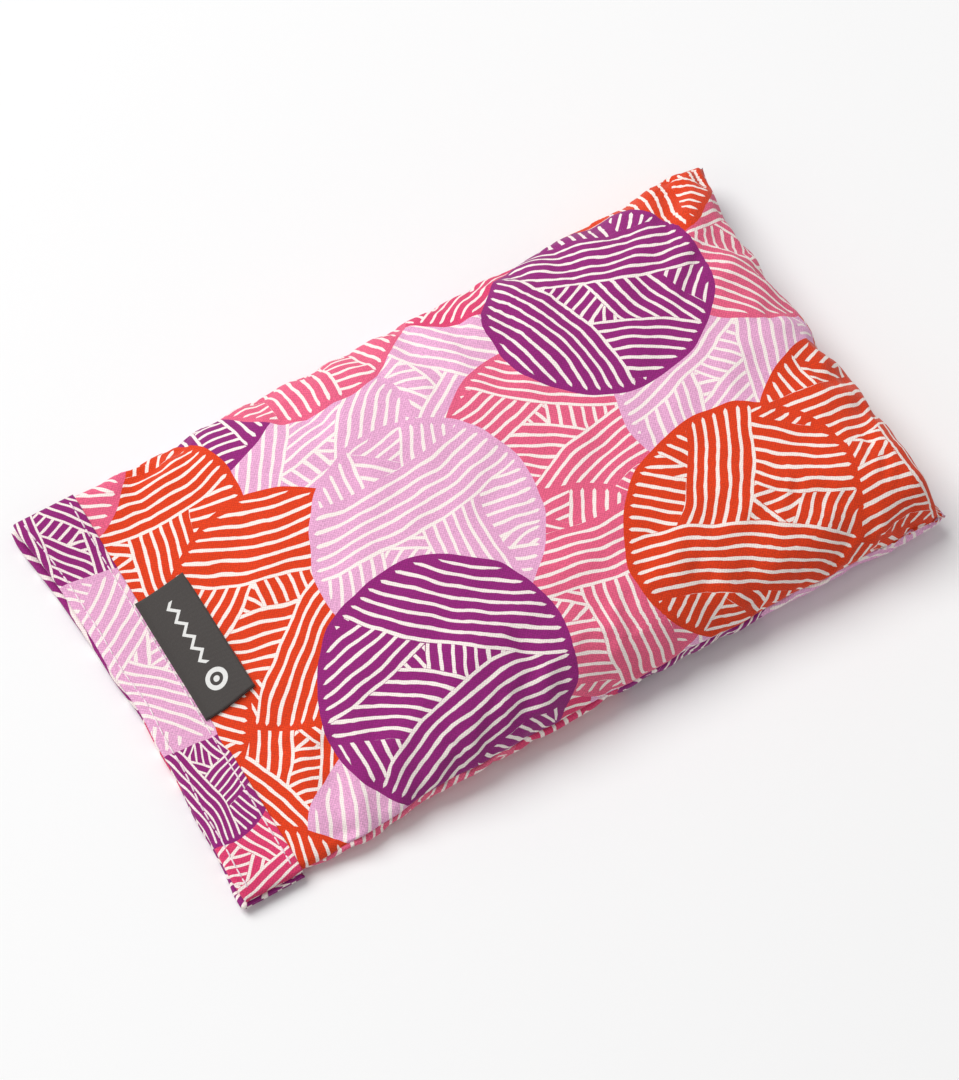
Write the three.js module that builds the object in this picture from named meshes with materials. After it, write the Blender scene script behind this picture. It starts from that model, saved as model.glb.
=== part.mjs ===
// Eye pillow: a seed-filled cotton pillow in a removable printed cover that is open at one short end.
// Millimetres. +X from the cover's open mouth to its closed end, +Z up, the pillow lying on z = 0.
import * as THREE from "three";

// Cover, lying down and filled
const LENGTH = 199; // mouth edge to closed end
const WIDTH = 115; // side seam to side seam at the mouth
const THICKNESS = 24; // table to crown
const SEAM_HEIGHT = 7; // of the side seams above the table, beside the filled part
const SIDE_DRAW_IN = 1.5; // how far filling pulls each side seam in, half way along
const END_DRAW_IN = 2.5; // how far it pulls the end seam in, half way across
const CLOTH = 0.5; // one layer of printed cotton
const SEAM_GAP = 0.3; // between the edges of the two panels

// Cuffs: a band folded over the mouth edge of each panel
const CUFF_WIDTH = 16;
const CUFF_CLEARANCE = 0.2; // between a cuff's layers and the panel's edge held in them
const CUFF_THICKNESS = 3 * CLOTH + 2 * CUFF_CLEARANCE;
const PANEL_IN_CUFF = 6; // how far a panel's edge reaches into its cuff
const MOUTH_GAP = 1; // between the two cuffs
const CUFF_LIFT = 0.7; // of the back cuff off the table, for the stitches under it
const CUFF_POCKET = 7; // depth of the slot between a cuff's layers

// How the filled part swells out of the flat mouth
const TOP_RISE = 70; // from the cuff to the full height
const TOP_START = 1.3; // above 1: the crown leaves the cuff nearly flat, then rises faster
const SEAM_RISE = 45; // from the cuff to the full seam height
const EDGE_RISE = 12; // from the flat cuff to the rounded section
const END_FALL = 28; // from the full height down to the end seam
const TOP_POWER = 4; // roundness of the crown's section
const BASE_POWER = 5; // squareness of the base's section
const BASE_FLAT = 1.06; // above 1: the base is pressed flat on the table

// Woven label, folded in half, its cut edges held under the cuff
const LABEL_LENGTH = 35.5;
const LABEL_SHOWN = 12.5;
const LABEL_CLOTH = 0.35;
const LABEL_GAP = 0.3;
const LABEL_MIDDLE_Y = 5.5;
const LABEL_OFF_CUFF = 0.1;
const LABEL_OVER_CUFF = 0.75; // the height of the fold line that it lifts about
const LABEL_EXTRA_SLOPE = THREE.MathUtils.degToRad(1); // keeps the flat label clear of the curved panel

// Inner pillow
const BAG_FOOT = 3.2; // its seam's distance inside the cover's seam
const BAG_DEPTH = 1.1; // its cloth's distance inside the cover's outer face
const BAG_CLOTH = 0.4;
const BAG_START = 4; // from the cuff to the pillow's near end
const BAG_NEAR_FALL = 16; // length of the rounding at that end
const BAG_SEAM_ROW = 1; // from its cloth's inner face to the row that sews it
const SEED_FOOT = 6.2;
const SEED_START = 8; // from the cuff to the seed
const SEED_DEPTH = BAG_DEPTH + BAG_CLOTH + 0.4;

// Sewing
const STITCH = 2.8; // pitch of the topstitching
const THREAD_RADIUS = 0.2;
const THREAD_CLEARANCE = 0.12;
const MOUTH_ROW = 2.2; // from the mouth edge to the first row
const CUFF_ROW = 1.8; // from the second row to the cuff's inner edge
const SEAM_ROW = 2; // from a seam to the row that sews it, inside
const SEAM_STEP = 8; // between the points of a hidden row
const CORNER_LEFT = 6; // from the ends of the cover's hidden rows to its corners
const BAG_CORNER = 1.5; // from the bag's row to its corners, where it turns

// Facets
const PANEL_COLUMNS = 24;
const PANEL_ROWS = 16;
const CUFF_SHARE = 1 / PANEL_COLUMNS; // of an open layer's steps, for its edge in the cuff
const BAG_COLUMNS = 18;
const BAG_ROWS = 12;

const MOUTH_X = -LENGTH / 2;
const END_X = LENGTH / 2;
const CUFF_X = MOUTH_X + CUFF_WIDTH;
const CUFF_MIDDLE_Z = CUFF_LIFT + CUFF_THICKNESS + MOUTH_GAP / 2;
const CUFF_TOP_Z = CUFF_MIDDLE_Z + MOUTH_GAP / 2 + CUFF_THICKNESS;
const IN_CUFF = CLOTH + CUFF_CLEARANCE; // from a cuff's outer face to the panel held in it
const BAG_X = CUFF_X + BAG_START;

const COLOURS = {
  print: new THREE.Color(0.86, 0.36, 0.46),
  cuff: new THREE.Color(0.78, 0.5, 0.72),
  thread: new THREE.Color(0.93, 0.86, 0.87),
  label: new THREE.Color(0.22, 0.22, 0.21),
  muslin: new THREE.Color(0.88, 0.84, 0.75),
  seed: new THREE.Color(0.42, 0.25, 0.12),
};

const part = new THREE.Group();

function add(name, geometry, colour, roughness, group = part) {
  const material = new THREE.MeshStandardMaterial({ color: colour, roughness, metalness: 0 });
  const mesh = new THREE.Mesh(geometry, material);
  mesh.name = name;
  group.add(mesh);
  return mesh;
}

const share = (x, from, length) => THREE.MathUtils.clamp((x - from) / length, 0, 1);
const mix = THREE.MathUtils.lerp;

// The filled shape. A layer is one face of one piece of cloth: foot is its distance inside the cover's
// seam line, seen from above, and depth is its distance inside the cover's outer face.
function seamHeight(x) {
  return mix(CUFF_MIDDLE_Z, SEAM_HEIGHT, THREE.MathUtils.smoothstep(x, CUFF_X, CUFF_X + SEAM_RISE));
}

function halfWidth(x, foot) {
  const along = share(x, CUFF_X, END_X - CUFF_X);
  return WIDTH / 2 - SIDE_DRAW_IN * Math.sin(Math.PI * along) - foot;
}

function endX(across, foot) {
  return END_X - END_DRAW_IN * (1 - across * across) - foot;
}

function crown(x) {
  const edge = CUFF_TOP_Z - IN_CUFF;
  const rise = Math.sin((Math.PI / 2) * share(x, CUFF_X, TOP_RISE)) ** TOP_START;
  return mix(edge, THICKNESS, rise) - seamHeight(x) - SEAM_GAP / 2;
}

function base(x) {
  const edge = (CUFF_LIFT + IN_CUFF) * (1 - share(x, CUFF_X, EDGE_RISE));
  return seamHeight(x) - edge - SEAM_GAP / 2;
}

const rounded = (t, power) => Math.sqrt(Math.max(0, 1 - Math.abs(t) ** power));
const flattened = (t, power) => Math.min(1, BASE_FLAT * rounded(t, power));

// Height of a layer above (side 1) or below (side -1) the seam. A closed layer also rounds down to the
// seam at its near end; an open one goes flat into the cuff.
function swell(side, x, across, toEnd, layer) {
  const section = side > 0 ? rounded : flattened;
  const power = side > 0 ? TOP_POWER : BASE_POWER;
  const full = (side > 0 ? crown(x) : base(x)) - layer.depth;
  const over = mix(1, section(across, power), layer.closed ? 1 : share(x, CUFF_X, EDGE_RISE));
  const nearEnd = layer.closed ? section(1 - share(x, layer.start, BAG_NEAR_FALL), power) : 1;
  return full * over * nearEnd * section(toEnd, power);
}

// How far along a layer is: a closed one has more steps at both ends. An open one has one step in the
// cuff, and more steps at the closed end.
function stepAlong(layer, along, end) {
  if (layer.closed) return mix(layer.start, end, (1 - Math.cos(Math.PI * along)) / 2);
  const beyond = (along - CUFF_SHARE) / (1 - CUFF_SHARE);
  if (beyond <= 0) return mix(layer.start, CUFF_X, along / CUFF_SHARE);
  return mix(CUFF_X, end, (beyond + Math.sin((Math.PI / 2) * beyond)) / 2);
}

// A layer as a surface: along and sideways run from 0 to 1.
function surface(side, layer) {
  return (along, sideways) => {
    const across = Math.sin(Math.PI * (sideways - 0.5));
    const end = endX(across, layer.foot);
    const x = stepAlong(layer, along, end);
    const height = swell(side, x, across, share(x, end - END_FALL, END_FALL), layer);
    const z = seamHeight(x) + side * (SEAM_GAP / 2 + height);
    return new THREE.Vector3(x, halfWidth(x, layer.foot) * across, z);
  };
}

// One closed body between two surfaces, top above base, joined round their edges.
function between(top, base, columns, rows) {
  const positions = [];
  const index = [];
  const cell = (face, i, j) => face * (columns + 1) * (rows + 1) + i * (rows + 1) + j;
  for (const face of [top, base])
    for (let i = 0; i <= columns; i++)
      for (let j = 0; j <= rows; j++) positions.push(...face(i / columns, j / rows).toArray());
  const quad = (a, b, c, d) => index.push(a, b, c, a, c, d);
  for (let i = 0; i < columns; i++)
    for (let j = 0; j < rows; j++) {
      quad(cell(0, i, j), cell(0, i + 1, j), cell(0, i + 1, j + 1), cell(0, i, j + 1));
      quad(cell(1, i, j), cell(1, i, j + 1), cell(1, i + 1, j + 1), cell(1, i + 1, j));
    }
  for (let i = 0; i < columns; i++) {
    quad(cell(0, i, 0), cell(1, i, 0), cell(1, i + 1, 0), cell(0, i + 1, 0));
    quad(cell(0, i + 1, rows), cell(1, i + 1, rows), cell(1, i, rows), cell(0, i, rows));
  }
  for (let j = 0; j < rows; j++) {
    quad(cell(0, 0, j + 1), cell(1, 0, j + 1), cell(1, 0, j), cell(0, 0, j));
    quad(cell(0, columns, j), cell(1, columns, j), cell(1, columns, j + 1), cell(0, columns, j + 1));
  }
  const geometry = new THREE.BufferGeometry();
  geometry.setAttribute("position", new THREE.Float32BufferAttribute(positions, 3));
  geometry.setIndex(index);
  geometry.computeVertexNormals();
  return geometry;
}

// Panels of the cover
const outer = { start: CUFF_X - PANEL_IN_CUFF, foot: 0, depth: 0, closed: false };
const inner = { ...outer, foot: CLOTH, depth: CLOTH };
add("front_panel", between(surface(1, outer), surface(1, inner), PANEL_COLUMNS, PANEL_ROWS), COLOURS.print, 0.9);
add("back_panel", between(surface(-1, inner), surface(-1, outer), PANEL_COLUMNS, PANEL_ROWS), COLOURS.print, 0.9);

// Cuffs: a band with its fold at the mouth edge and the panel's edge between its two layers
function cuffGeometry() {
  const pocket = CUFF_X - CUFF_POCKET;
  const fold = CUFF_THICKNESS / 2;
  const outline = new THREE.Shape();
  outline.moveTo(CUFF_X, 0);
  outline.lineTo(CUFF_X, CLOTH);
  outline.lineTo(pocket, CLOTH);
  outline.lineTo(pocket, CUFF_THICKNESS - CLOTH);
  outline.lineTo(CUFF_X, CUFF_THICKNESS - CLOTH);
  outline.lineTo(CUFF_X, CUFF_THICKNESS);
  outline.lineTo(MOUTH_X + fold, CUFF_THICKNESS);
  outline.absarc(MOUTH_X + fold, fold, fold, Math.PI / 2, (3 * Math.PI) / 2);
  return acrossCover(outline, WIDTH, 0);
}

// Extrudes an outline drawn in X and Z across the cover, centred on y.
function acrossCover(outline, length, y) {
  const geometry = new THREE.ExtrudeGeometry(outline, { depth: length, bevelEnabled: false, curveSegments: 5 });
  return geometry.rotateX(Math.PI / 2).translate(0, y + length / 2, 0);
}

add("back_cuff", cuffGeometry(), COLOURS.cuff, 0.9).position.z = CUFF_LIFT;
add("front_cuff", cuffGeometry(), COLOURS.cuff, 0.9).position.z = CUFF_TOP_Z - CUFF_THICKNESS;

// Sewing thread through a row of points
function thread(points, steps) {
  const section = new THREE.Shape();
  section.absarc(0, 0, THREAD_RADIUS, 0, 2 * Math.PI);
  const path = new THREE.CatmullRomCurve3(points);
  return new THREE.ExtrudeGeometry(section, { steps, curveSegments: 2, extrudePath: path });
}

// A row of topstitching across a cuff: each stitch arches off the cloth and dips at its ends.
function topstitching(x, z, side) {
  const length = WIDTH - 2 * STITCH;
  const count = 2 * Math.floor(length / STITCH);
  const points = [];
  for (let i = 0; i <= count; i++) {
    const arch = i % 2 ? THREAD_RADIUS / 2 : 0;
    const lift = side * (THREAD_RADIUS + THREAD_CLEARANCE + arch);
    points.push(new THREE.Vector3(x, (i / count - 0.5) * length, z + lift));
  }
  return thread(points, count);
}

for (const [row, x] of [["mouth", MOUTH_X + MOUTH_ROW], ["cuff", CUFF_X - CUFF_ROW]]) {
  add(`front_${row}_stitches`, topstitching(x, CUFF_TOP_Z, 1), COLOURS.thread, 0.6);
  add(`back_${row}_stitches`, topstitching(x, CUFF_LIFT, -1), COLOURS.thread, 0.6);
}

// A hidden row of sewing in the plane of the seam, from one x to another along a side
function sideRow(side, foot, from, to) {
  const points = [];
  const count = Math.round((to - from) / SEAM_STEP);
  for (let i = 0; i <= count; i++) {
    const x = mix(from, to, i / count);
    points.push(new THREE.Vector3(x, side * halfWidth(x, foot), seamHeight(x)));
  }
  return points;
}

// The same across the closed end, from the near side to the far side
function endRow(foot, corner) {
  const points = [];
  const half = halfWidth(END_X, foot) - corner;
  const count = Math.round((2 * half) / SEAM_STEP);
  for (let i = 0; i <= count; i++) {
    const across = (2 * i) / count - 1;
    points.push(new THREE.Vector3(endX(across, foot), across * half, SEAM_HEIGHT));
  }
  return points;
}

const seamStart = CUFF_X + EDGE_RISE;
const seamEnd = END_X - CORNER_LEFT;
for (const [name, side] of [["near", -1], ["far", 1]]) {
  const row = sideRow(side, SEAM_ROW, seamStart, seamEnd);
  add(`${name}_side_seam_stitches`, thread(row, row.length), COLOURS.thread, 0.6);
}
const acrossEnd = endRow(SEAM_ROW, CORNER_LEFT);
add("end_seam_stitches", thread(acrossEnd, acrossEnd.length), COLOURS.thread, 0.6);

// Woven label: a strip folded in half, fold outwards, lying on the front panel
function labelGeometry() {
  const thickness = 2 * LABEL_CLOTH + LABEL_GAP;
  const slot = LABEL_SHOWN - thickness;
  const outline = new THREE.Shape();
  outline.moveTo(0, -thickness);
  outline.lineTo(slot, -thickness);
  outline.absarc(slot, -thickness / 2, thickness / 2, -Math.PI / 2, Math.PI / 2);
  outline.lineTo(0, 0);
  outline.lineTo(0, -LABEL_CLOTH);
  outline.lineTo(slot, -LABEL_CLOTH);
  outline.lineTo(slot, LABEL_CLOTH - thickness);
  outline.lineTo(0, LABEL_CLOTH - thickness);
  return acrossCover(outline, LABEL_LENGTH, LABEL_MIDDLE_Y);
}

const top = (x) => seamHeight(x) + SEAM_GAP / 2 + crown(x);
const labelRoot = new THREE.Group();
labelRoot.position.set(CUFF_X + LABEL_OFF_CUFF, 0, CUFF_TOP_Z + LABEL_OVER_CUFF);
const panelRise = top(CUFF_X + LABEL_SHOWN) - top(CUFF_X);
labelRoot.rotation.y = -Math.atan2(panelRise, LABEL_SHOWN) - LABEL_EXTRA_SLOPE;
part.add(labelRoot);
add("woven_label", labelGeometry(), COLOURS.label, 0.75, labelRoot);

// Inner pillow: a plain bag of two pieces, sewn round three sides and closed across the near end
const bagOuter = { start: BAG_X, foot: BAG_FOOT, depth: BAG_DEPTH, closed: true };
const bagInner = {
  start: BAG_X + BAG_CLOTH,
  foot: BAG_FOOT + BAG_CLOTH,
  depth: BAG_DEPTH + BAG_CLOTH,
  closed: true,
};
const bagFront = between(surface(1, bagOuter), surface(1, bagInner), BAG_COLUMNS, BAG_ROWS);
const bagBack = between(surface(-1, bagInner), surface(-1, bagOuter), BAG_COLUMNS, BAG_ROWS);
add("inner_bag_front", bagFront, COLOURS.muslin, 0.95);
add("inner_bag_back", bagBack, COLOURS.muslin, 0.95);

const bagSeam = bagInner.foot + BAG_SEAM_ROW;
const closingX = bagInner.start + BAG_SEAM_ROW;
const bagTurn = END_X - bagSeam - BAG_CORNER;
const farRow = sideRow(1, bagSeam, closingX + SEAM_ROW, bagTurn);
const nearRow = sideRow(-1, bagSeam, closingX + SEAM_ROW, bagTurn);
const bagRow = [...nearRow, ...endRow(bagSeam, BAG_CORNER), ...farRow.reverse()];
add("inner_bag_seam_stitches", thread(bagRow, bagRow.length), COLOURS.thread, 0.6);

const closingRow = [-1, 0, 1].map(
  (side) => new THREE.Vector3(closingX, side * (halfWidth(closingX, bagSeam) - SEAM_ROW), seamHeight(closingX)),
);
add("inner_bag_closing_stitches", thread(closingRow, PANEL_ROWS), COLOURS.thread, 0.6);

// Seed filling, as one lens-shaped mass of loose seed
const seed = { start: CUFF_X + SEED_START, foot: SEED_FOOT, depth: SEED_DEPTH, closed: true };
const seedGeometry = between(surface(1, seed), surface(-1, seed), BAG_COLUMNS, BAG_ROWS);
add("seed_fill", seedGeometry, COLOURS.seed, 0.8);

export default part;
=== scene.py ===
import math

import bpy
import numpy as np
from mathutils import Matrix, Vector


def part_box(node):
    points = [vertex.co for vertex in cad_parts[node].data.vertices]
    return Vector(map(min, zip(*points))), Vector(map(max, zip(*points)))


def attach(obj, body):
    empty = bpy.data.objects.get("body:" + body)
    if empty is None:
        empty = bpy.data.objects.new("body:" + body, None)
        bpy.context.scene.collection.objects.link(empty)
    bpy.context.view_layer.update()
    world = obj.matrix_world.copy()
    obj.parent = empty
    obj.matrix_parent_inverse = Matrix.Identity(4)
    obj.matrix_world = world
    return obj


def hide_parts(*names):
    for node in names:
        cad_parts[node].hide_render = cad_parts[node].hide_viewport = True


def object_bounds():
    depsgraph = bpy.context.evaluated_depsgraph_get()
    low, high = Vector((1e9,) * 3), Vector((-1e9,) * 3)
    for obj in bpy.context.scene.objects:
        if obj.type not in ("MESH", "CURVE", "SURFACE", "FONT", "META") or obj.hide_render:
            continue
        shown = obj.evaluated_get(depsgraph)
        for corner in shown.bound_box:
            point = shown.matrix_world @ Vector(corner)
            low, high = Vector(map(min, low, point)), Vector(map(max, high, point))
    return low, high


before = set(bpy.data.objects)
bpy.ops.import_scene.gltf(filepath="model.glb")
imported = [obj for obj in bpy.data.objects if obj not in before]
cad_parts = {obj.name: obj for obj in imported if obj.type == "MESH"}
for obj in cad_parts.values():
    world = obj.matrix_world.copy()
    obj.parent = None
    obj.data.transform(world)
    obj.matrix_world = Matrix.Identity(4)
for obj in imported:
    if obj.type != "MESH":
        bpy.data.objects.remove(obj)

MM = 0.001
CAD_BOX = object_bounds()


def box(node):
    """A CAD node's lowest and highest corners, in millimetres."""
    low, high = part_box(node)
    return np.array(low) / MM, np.array(high) / MM


# ---------------------------------------------------------------- sizes, from the frame
MOUTH_X = CAD_BOX[0][0] / MM
END_X = CAD_BOX[1][0] / MM
HALF_WIDTH = CAD_BOX[1][1] / MM
TOP_Z = CAD_BOX[1][2] / MM
CUFF_X = box("front_cuff")[1][0]
CUFF_TOP_Z = box("front_cuff")[1][2]
CUFF_BASE_Z = box("back_cuff")[0][2]
CUFF_THICK = CUFF_TOP_Z - box("front_cuff")[0][2]
CUFF_MIDDLE_Z = (CUFF_TOP_Z + CUFF_BASE_Z) / 2
SEAM_Z = (box("end_seam_stitches")[0][2] + box("end_seam_stitches")[1][2]) / 2
LABEL_LOW, LABEL_HIGH = box("woven_label")
BAG_LOW, BAG_HIGH = box("inner_bag_front")

CLOTH = 0.45
CUFF_PAST_SEAM = {1: 0.9, -1: 1.7}  # how far the front and the back cuff stand out past the near seam
PANEL_IN_CUFF = 6.0
PANEL_UNDER_CUFF = 0.75
SEAM_RISE = 45.0
TOP_RISE = 70.0
EDGE_RISE = 14.0
END_FALL = 26.0
IN_CUFF_SHARE = 0.04  # of a panel's rows
FLAT_POWER = 40  # the squareness of a panel's section in the cuff, where it is flat


# ---------------------------------------------------------------- small helpers
def ramp(t):
    """A smooth step from 0 to 1 as t goes from 0 to 1."""
    t = np.clip(t, 0, 1)
    return t * t * (3 - 2 * t)


def bump(t):
    """A smooth hump, 1 where t is 0 and nearly 0 past 2 each way."""
    return np.exp(-t * t)


def mix(a, b, t):
    return a + (b - a) * t


def waves(x, y, length, seed, count=7):
    """Smooth lumps about one length across, between about -1 and 1, the same on every run."""
    random = np.random.default_rng(seed)
    total = np.zeros(np.broadcast(x, y).shape)
    for _ in range(count):
        angle, phase = random.uniform(0, 2 * math.pi, 2)
        rate = 2 * math.pi / (length * random.uniform(0.7, 1.5))
        total += np.sin(rate * (x * math.cos(angle) + y * math.sin(angle)) + phase)
    return total / math.sqrt(count)


# ---------------------------------------------------------------- the filled cover
# x runs from the mouth to the closed end and y from the near side to the far side. c also runs across, from
# -1 at the near seam to 1 at the far one.
def along_share(x):
    """0 at the cuff and 1 at the closed end."""
    return np.clip((x - CUFF_X) / (END_X - CUFF_X), 0, 1)


def near_line(x):
    """The near seam's y, standing out a little beyond the cuff."""
    wave = 0.2 * np.sin(x / 3.9 + 1) + 0.1 * np.sin(x / 1.7)
    out = 0.9 * bump((x + 68) / 12) * ramp((x - CUFF_X) / 3)
    return -HALF_WIDTH - out + 0.5 * np.sin(math.pi * along_share(x)) + wave * ramp((x - CUFF_X) / 12)


def far_line(x):
    """The far seam's y, drawn in along its middle."""
    wave = 0.2 * np.sin(x / 4.3) + 0.1 * np.sin(x / 1.9 + 2)
    return HALF_WIDTH - 1.7 * np.sin(math.pi * along_share(x) ** 0.75) + wave * ramp((x - CUFF_X) / 12)


def end_line(c):
    """The closed end's x, drawn in between its corners and more so on the far half."""
    wave = 0.25 * np.sin(c * 17) + 0.15 * np.sin(c * 31 + 1)
    return END_X - (1.5 + 2.6 * ramp(c + 0.3)) * (1 - c ** 4) + wave * (1 - c ** 4)


def seam_height(x, c):
    """The height of the seam's line, carried into the cover: it lifts at the far end corner and by the near
    side."""
    rise = mix(CUFF_MIDDLE_Z, SEAM_Z, ramp((x - CUFF_X) / SEAM_RISE))
    far_tip = 2.5 * ramp((x - 55) / 40) * ramp((c + 0.1) / 1.0)
    near = (0.9 + 0.9 * ramp((x + 20) / 60)) * ramp((x - CUFF_X) / 16)
    near = near * ramp(-1.3 * c) * ramp((END_X - x) / 8)
    wave = 0.3 * np.sin(x / 5.1 + 3 * np.sign(c)) * ramp((x - CUFF_X) / 20)
    return rise + far_tip + near + wave


def crown(x):
    """The height of the cover's top along its middle."""
    share = np.sin(math.pi / 2 * np.clip((x - CUFF_X) / TOP_RISE, 0, 1)) ** 1.3
    return mix(CUFF_TOP_Z - PANEL_UNDER_CUFF, TOP_Z - 0.4, share)


def far_lift(y):
    """How much higher the cuff and the panel in it sit by their far side."""
    return 1.5 * bump((y - HALF_WIDTH) / 11)


def rounding(t, power):
    """1 at t = 0, falling to 0 at 1 as the edge of a superellipse does: squarer for a larger power."""
    return np.sqrt(np.maximum(0, 1 - np.clip(t, 0, 1) ** power))


def cover_points(side, rows, columns):
    """The cover's outer face over (side 1) or under (side -1) the seam, as a grid of rows by columns. With it
    come each point's distance from the nearest seam and how far the cover has opened out from the cuff."""
    a = np.linspace(0, 1, rows)[:, None]
    beyond = np.clip((a - IN_CUFF_SHARE) / (1 - IN_CUFF_SHARE), 0, 1)
    c = np.sin(math.pi / 2 * np.linspace(-1, 1, columns))[None, :] * np.ones_like(a)
    end = end_line(c)
    x = np.where(
        a < IN_CUFF_SHARE,
        mix(CUFF_X - PANEL_IN_CUFF, CUFF_X, a / IN_CUFF_SHARE),
        mix(CUFF_X, end, 0.55 * beyond + 0.45 * np.sin(math.pi / 2 * beyond)),
    )
    near, far = near_line(x), far_line(x)
    y = mix(near, far, (c + 1) / 2)
    seam = seam_height(x, c)
    open_share = np.clip((x - CUFF_X) / EDGE_RISE, 0, 1)
    # by the near end corner the walls come in from the seam, and the end falls more steeply
    near_gap = 0.018 * ramp((x - 76) / 20) * (c < 0)
    across = np.abs(c) / (1 - near_gap)
    to_end = end - x - 1.2 * ramp((-c - 0.75) / 0.22)
    fall = END_FALL - 17 * ramp((-c - 0.1) / 0.8)
    t_end = 1 - np.clip(to_end / fall, 0, 1)
    # the section is flat in the cuff and then rounded, squarer underneath and on the near side
    if side > 0:
        boxy = np.where(c < 0, 4.4 + 2.4 * ramp((x + 75) / 60) + 5.0 * ramp((x - 40) / 50), 4.0)
        power = FLAT_POWER ** (1 - open_share) * boxy ** open_share
        full = crown(x) - seam
        height = full * rounding(across, power) * rounding(t_end, 3.4)
    else:
        power = FLAT_POWER ** (1 - open_share) * np.where(c < 0, 16, 7) ** open_share
        lift = (CUFF_BASE_Z + PANEL_UNDER_CUFF) * (1 - open_share)
        full = seam - lift
        height = full * np.minimum(1, 1.05 * rounding(across, power))
        height = height * np.minimum(1, 1.05 * rounding(t_end, 5))
    edge = np.minimum(np.minimum(y - near, far - y), end - x)
    height = np.maximum(height, 0) + 0.5 * rounding(1 - np.clip(edge / 1.5, 0, 1), 2)
    # the wall leans out past the seam
    if side > 0:
        lean = np.where(c < 0, 0.15, 0.5)
        leaning = open_share
    else:
        near_lean = 0.5 - 0.3 * ramp((x - 35) / 35) + 0.8 * bump((x + 68) / 9) + 0.9 * ramp((x - 70) / 15)
        lean = np.where(c < 0, near_lean, 0.7)
        leaning = ramp((x - CUFF_X) / 6)
    out = lean * (height / 3) * np.exp(1 - np.maximum(height, 0) / 3) * leaning
    by_side = bump((np.minimum(y - near, far - y)) / 7)
    by_end = bump((end - x) / 7)
    y = y + np.sign(c) * out * by_side * (across < 1)
    x = x + out * by_end * (t_end < 1) * ramp(0.5 - c)
    z = seam + side * height
    if side > 0:
        z = z + far_lift(y) * (1 - ramp((x - CUFF_X) / 25))
    return np.stack([x, y, z], -1), edge, open_share


def normals_of(grid):
    """Unit normals of a grid of points."""
    du = np.gradient(grid, axis=0)
    dv = np.gradient(grid, axis=1)
    n = np.cross(du, dv)
    return n / np.maximum(np.linalg.norm(n, axis=-1, keepdims=True), 1e-9)


def flat_coordinates(grid):
    """Where each point is on the cloth laid flat: distances along the cloth from the cuff and the middle."""
    steps = np.linalg.norm(np.diff(grid, axis=0), axis=-1)
    u = grid[0, :, 0] + np.vstack([np.zeros(grid.shape[1]), np.cumsum(steps, 0)])
    steps = np.linalg.norm(np.diff(grid, axis=1), axis=-1)
    v = np.hstack([np.zeros((grid.shape[0], 1)), np.cumsum(steps, 1)])
    return np.stack([u, v - v[:, [grid.shape[1] // 2]]], -1)


# ---------------------------------------------------------------- meshes
def make_object(name, points, faces, uv, material):
    """A smooth mesh from points in millimetres, faces as index tuples, and one uv per point or none."""
    mesh = bpy.data.meshes.new(name)
    mesh.from_pydata((np.asarray(points) * MM).tolist(), [], [tuple(map(int, f)) for f in faces])
    mesh.polygons.foreach_set("use_smooth", [True] * len(mesh.polygons))
    if uv is not None:
        layer = mesh.uv_layers.new(name="cloth")
        corners = np.empty(len(mesh.loops), dtype=np.int32)
        mesh.loops.foreach_get("vertex_index", corners)
        layer.data.foreach_set("uv", np.asarray(uv)[corners].ravel())
    mesh.materials.append(material)
    mesh.update()
    obj = bpy.data.objects.new(name, mesh)
    bpy.context.scene.collection.objects.link(obj)
    return obj


def shell_faces(rows, columns):
    """Faces of a closed shell: an outer grid, an inner grid behind it, and the rim between them."""
    def at(face, i, j):
        return face * rows * columns + i * columns + j

    faces = []
    for i in range(rows - 1):
        for j in range(columns - 1):
            faces.append((at(0, i, j), at(0, i + 1, j), at(0, i + 1, j + 1), at(0, i, j + 1)))
            faces.append((at(1, i, j), at(1, i, j + 1), at(1, i + 1, j + 1), at(1, i + 1, j)))
    for i in range(rows - 1):
        faces.append((at(0, i, 0), at(1, i, 0), at(1, i + 1, 0), at(0, i + 1, 0)))
        j = columns - 1
        faces.append((at(0, i + 1, j), at(1, i + 1, j), at(1, i, j), at(0, i, j)))
    for j in range(columns - 1):
        faces.append((at(0, 0, j + 1), at(1, 0, j + 1), at(1, 0, j), at(0, 0, j)))
        i = rows - 1
        faces.append((at(0, i, j), at(1, i, j), at(1, i, j + 1), at(0, i, j + 1)))
    return faces


def cloth_shell(name, grid, thickness, uv, material):
    """A closed sheet of cloth whose outer face is the grid. The normal side of the grid faces out."""
    inner = grid - normals_of(grid) * thickness
    points = np.concatenate([grid.reshape(-1, 3), inner.reshape(-1, 3)])
    both = np.concatenate([uv.reshape(-1, 2)] * 2)
    return make_object(name, points, shell_faces(*grid.shape[:2]), both, material)


# ---------------------------------------------------------------- the cloth settling over its filling
SETTLE_FRAMES = 20
SETTLE_CAP = 1.0  # the largest movement that is kept
SETTLE_SWELL = 0.12  # the share of the even swelling that is kept
SETTLE_SMOOTH = 14  # rounds of smoothing that leave only the even swelling


def double(grid, axis):
    """The grid with a point added between each two along an axis, on a smooth curve."""
    g = np.moveaxis(grid, axis, 0)
    g = np.concatenate([2 * g[:1] - g[1:2], g, 2 * g[-1:] - g[-2:-1]])
    fine = np.empty((2 * len(g) - 5,) + g.shape[1:])
    fine[::2] = g[1:-1]
    fine[1::2] = (9 * (g[1:-2] + g[2:-1]) - g[:-3] - g[3:]) / 16
    return np.moveaxis(fine, 0, axis)


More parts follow.
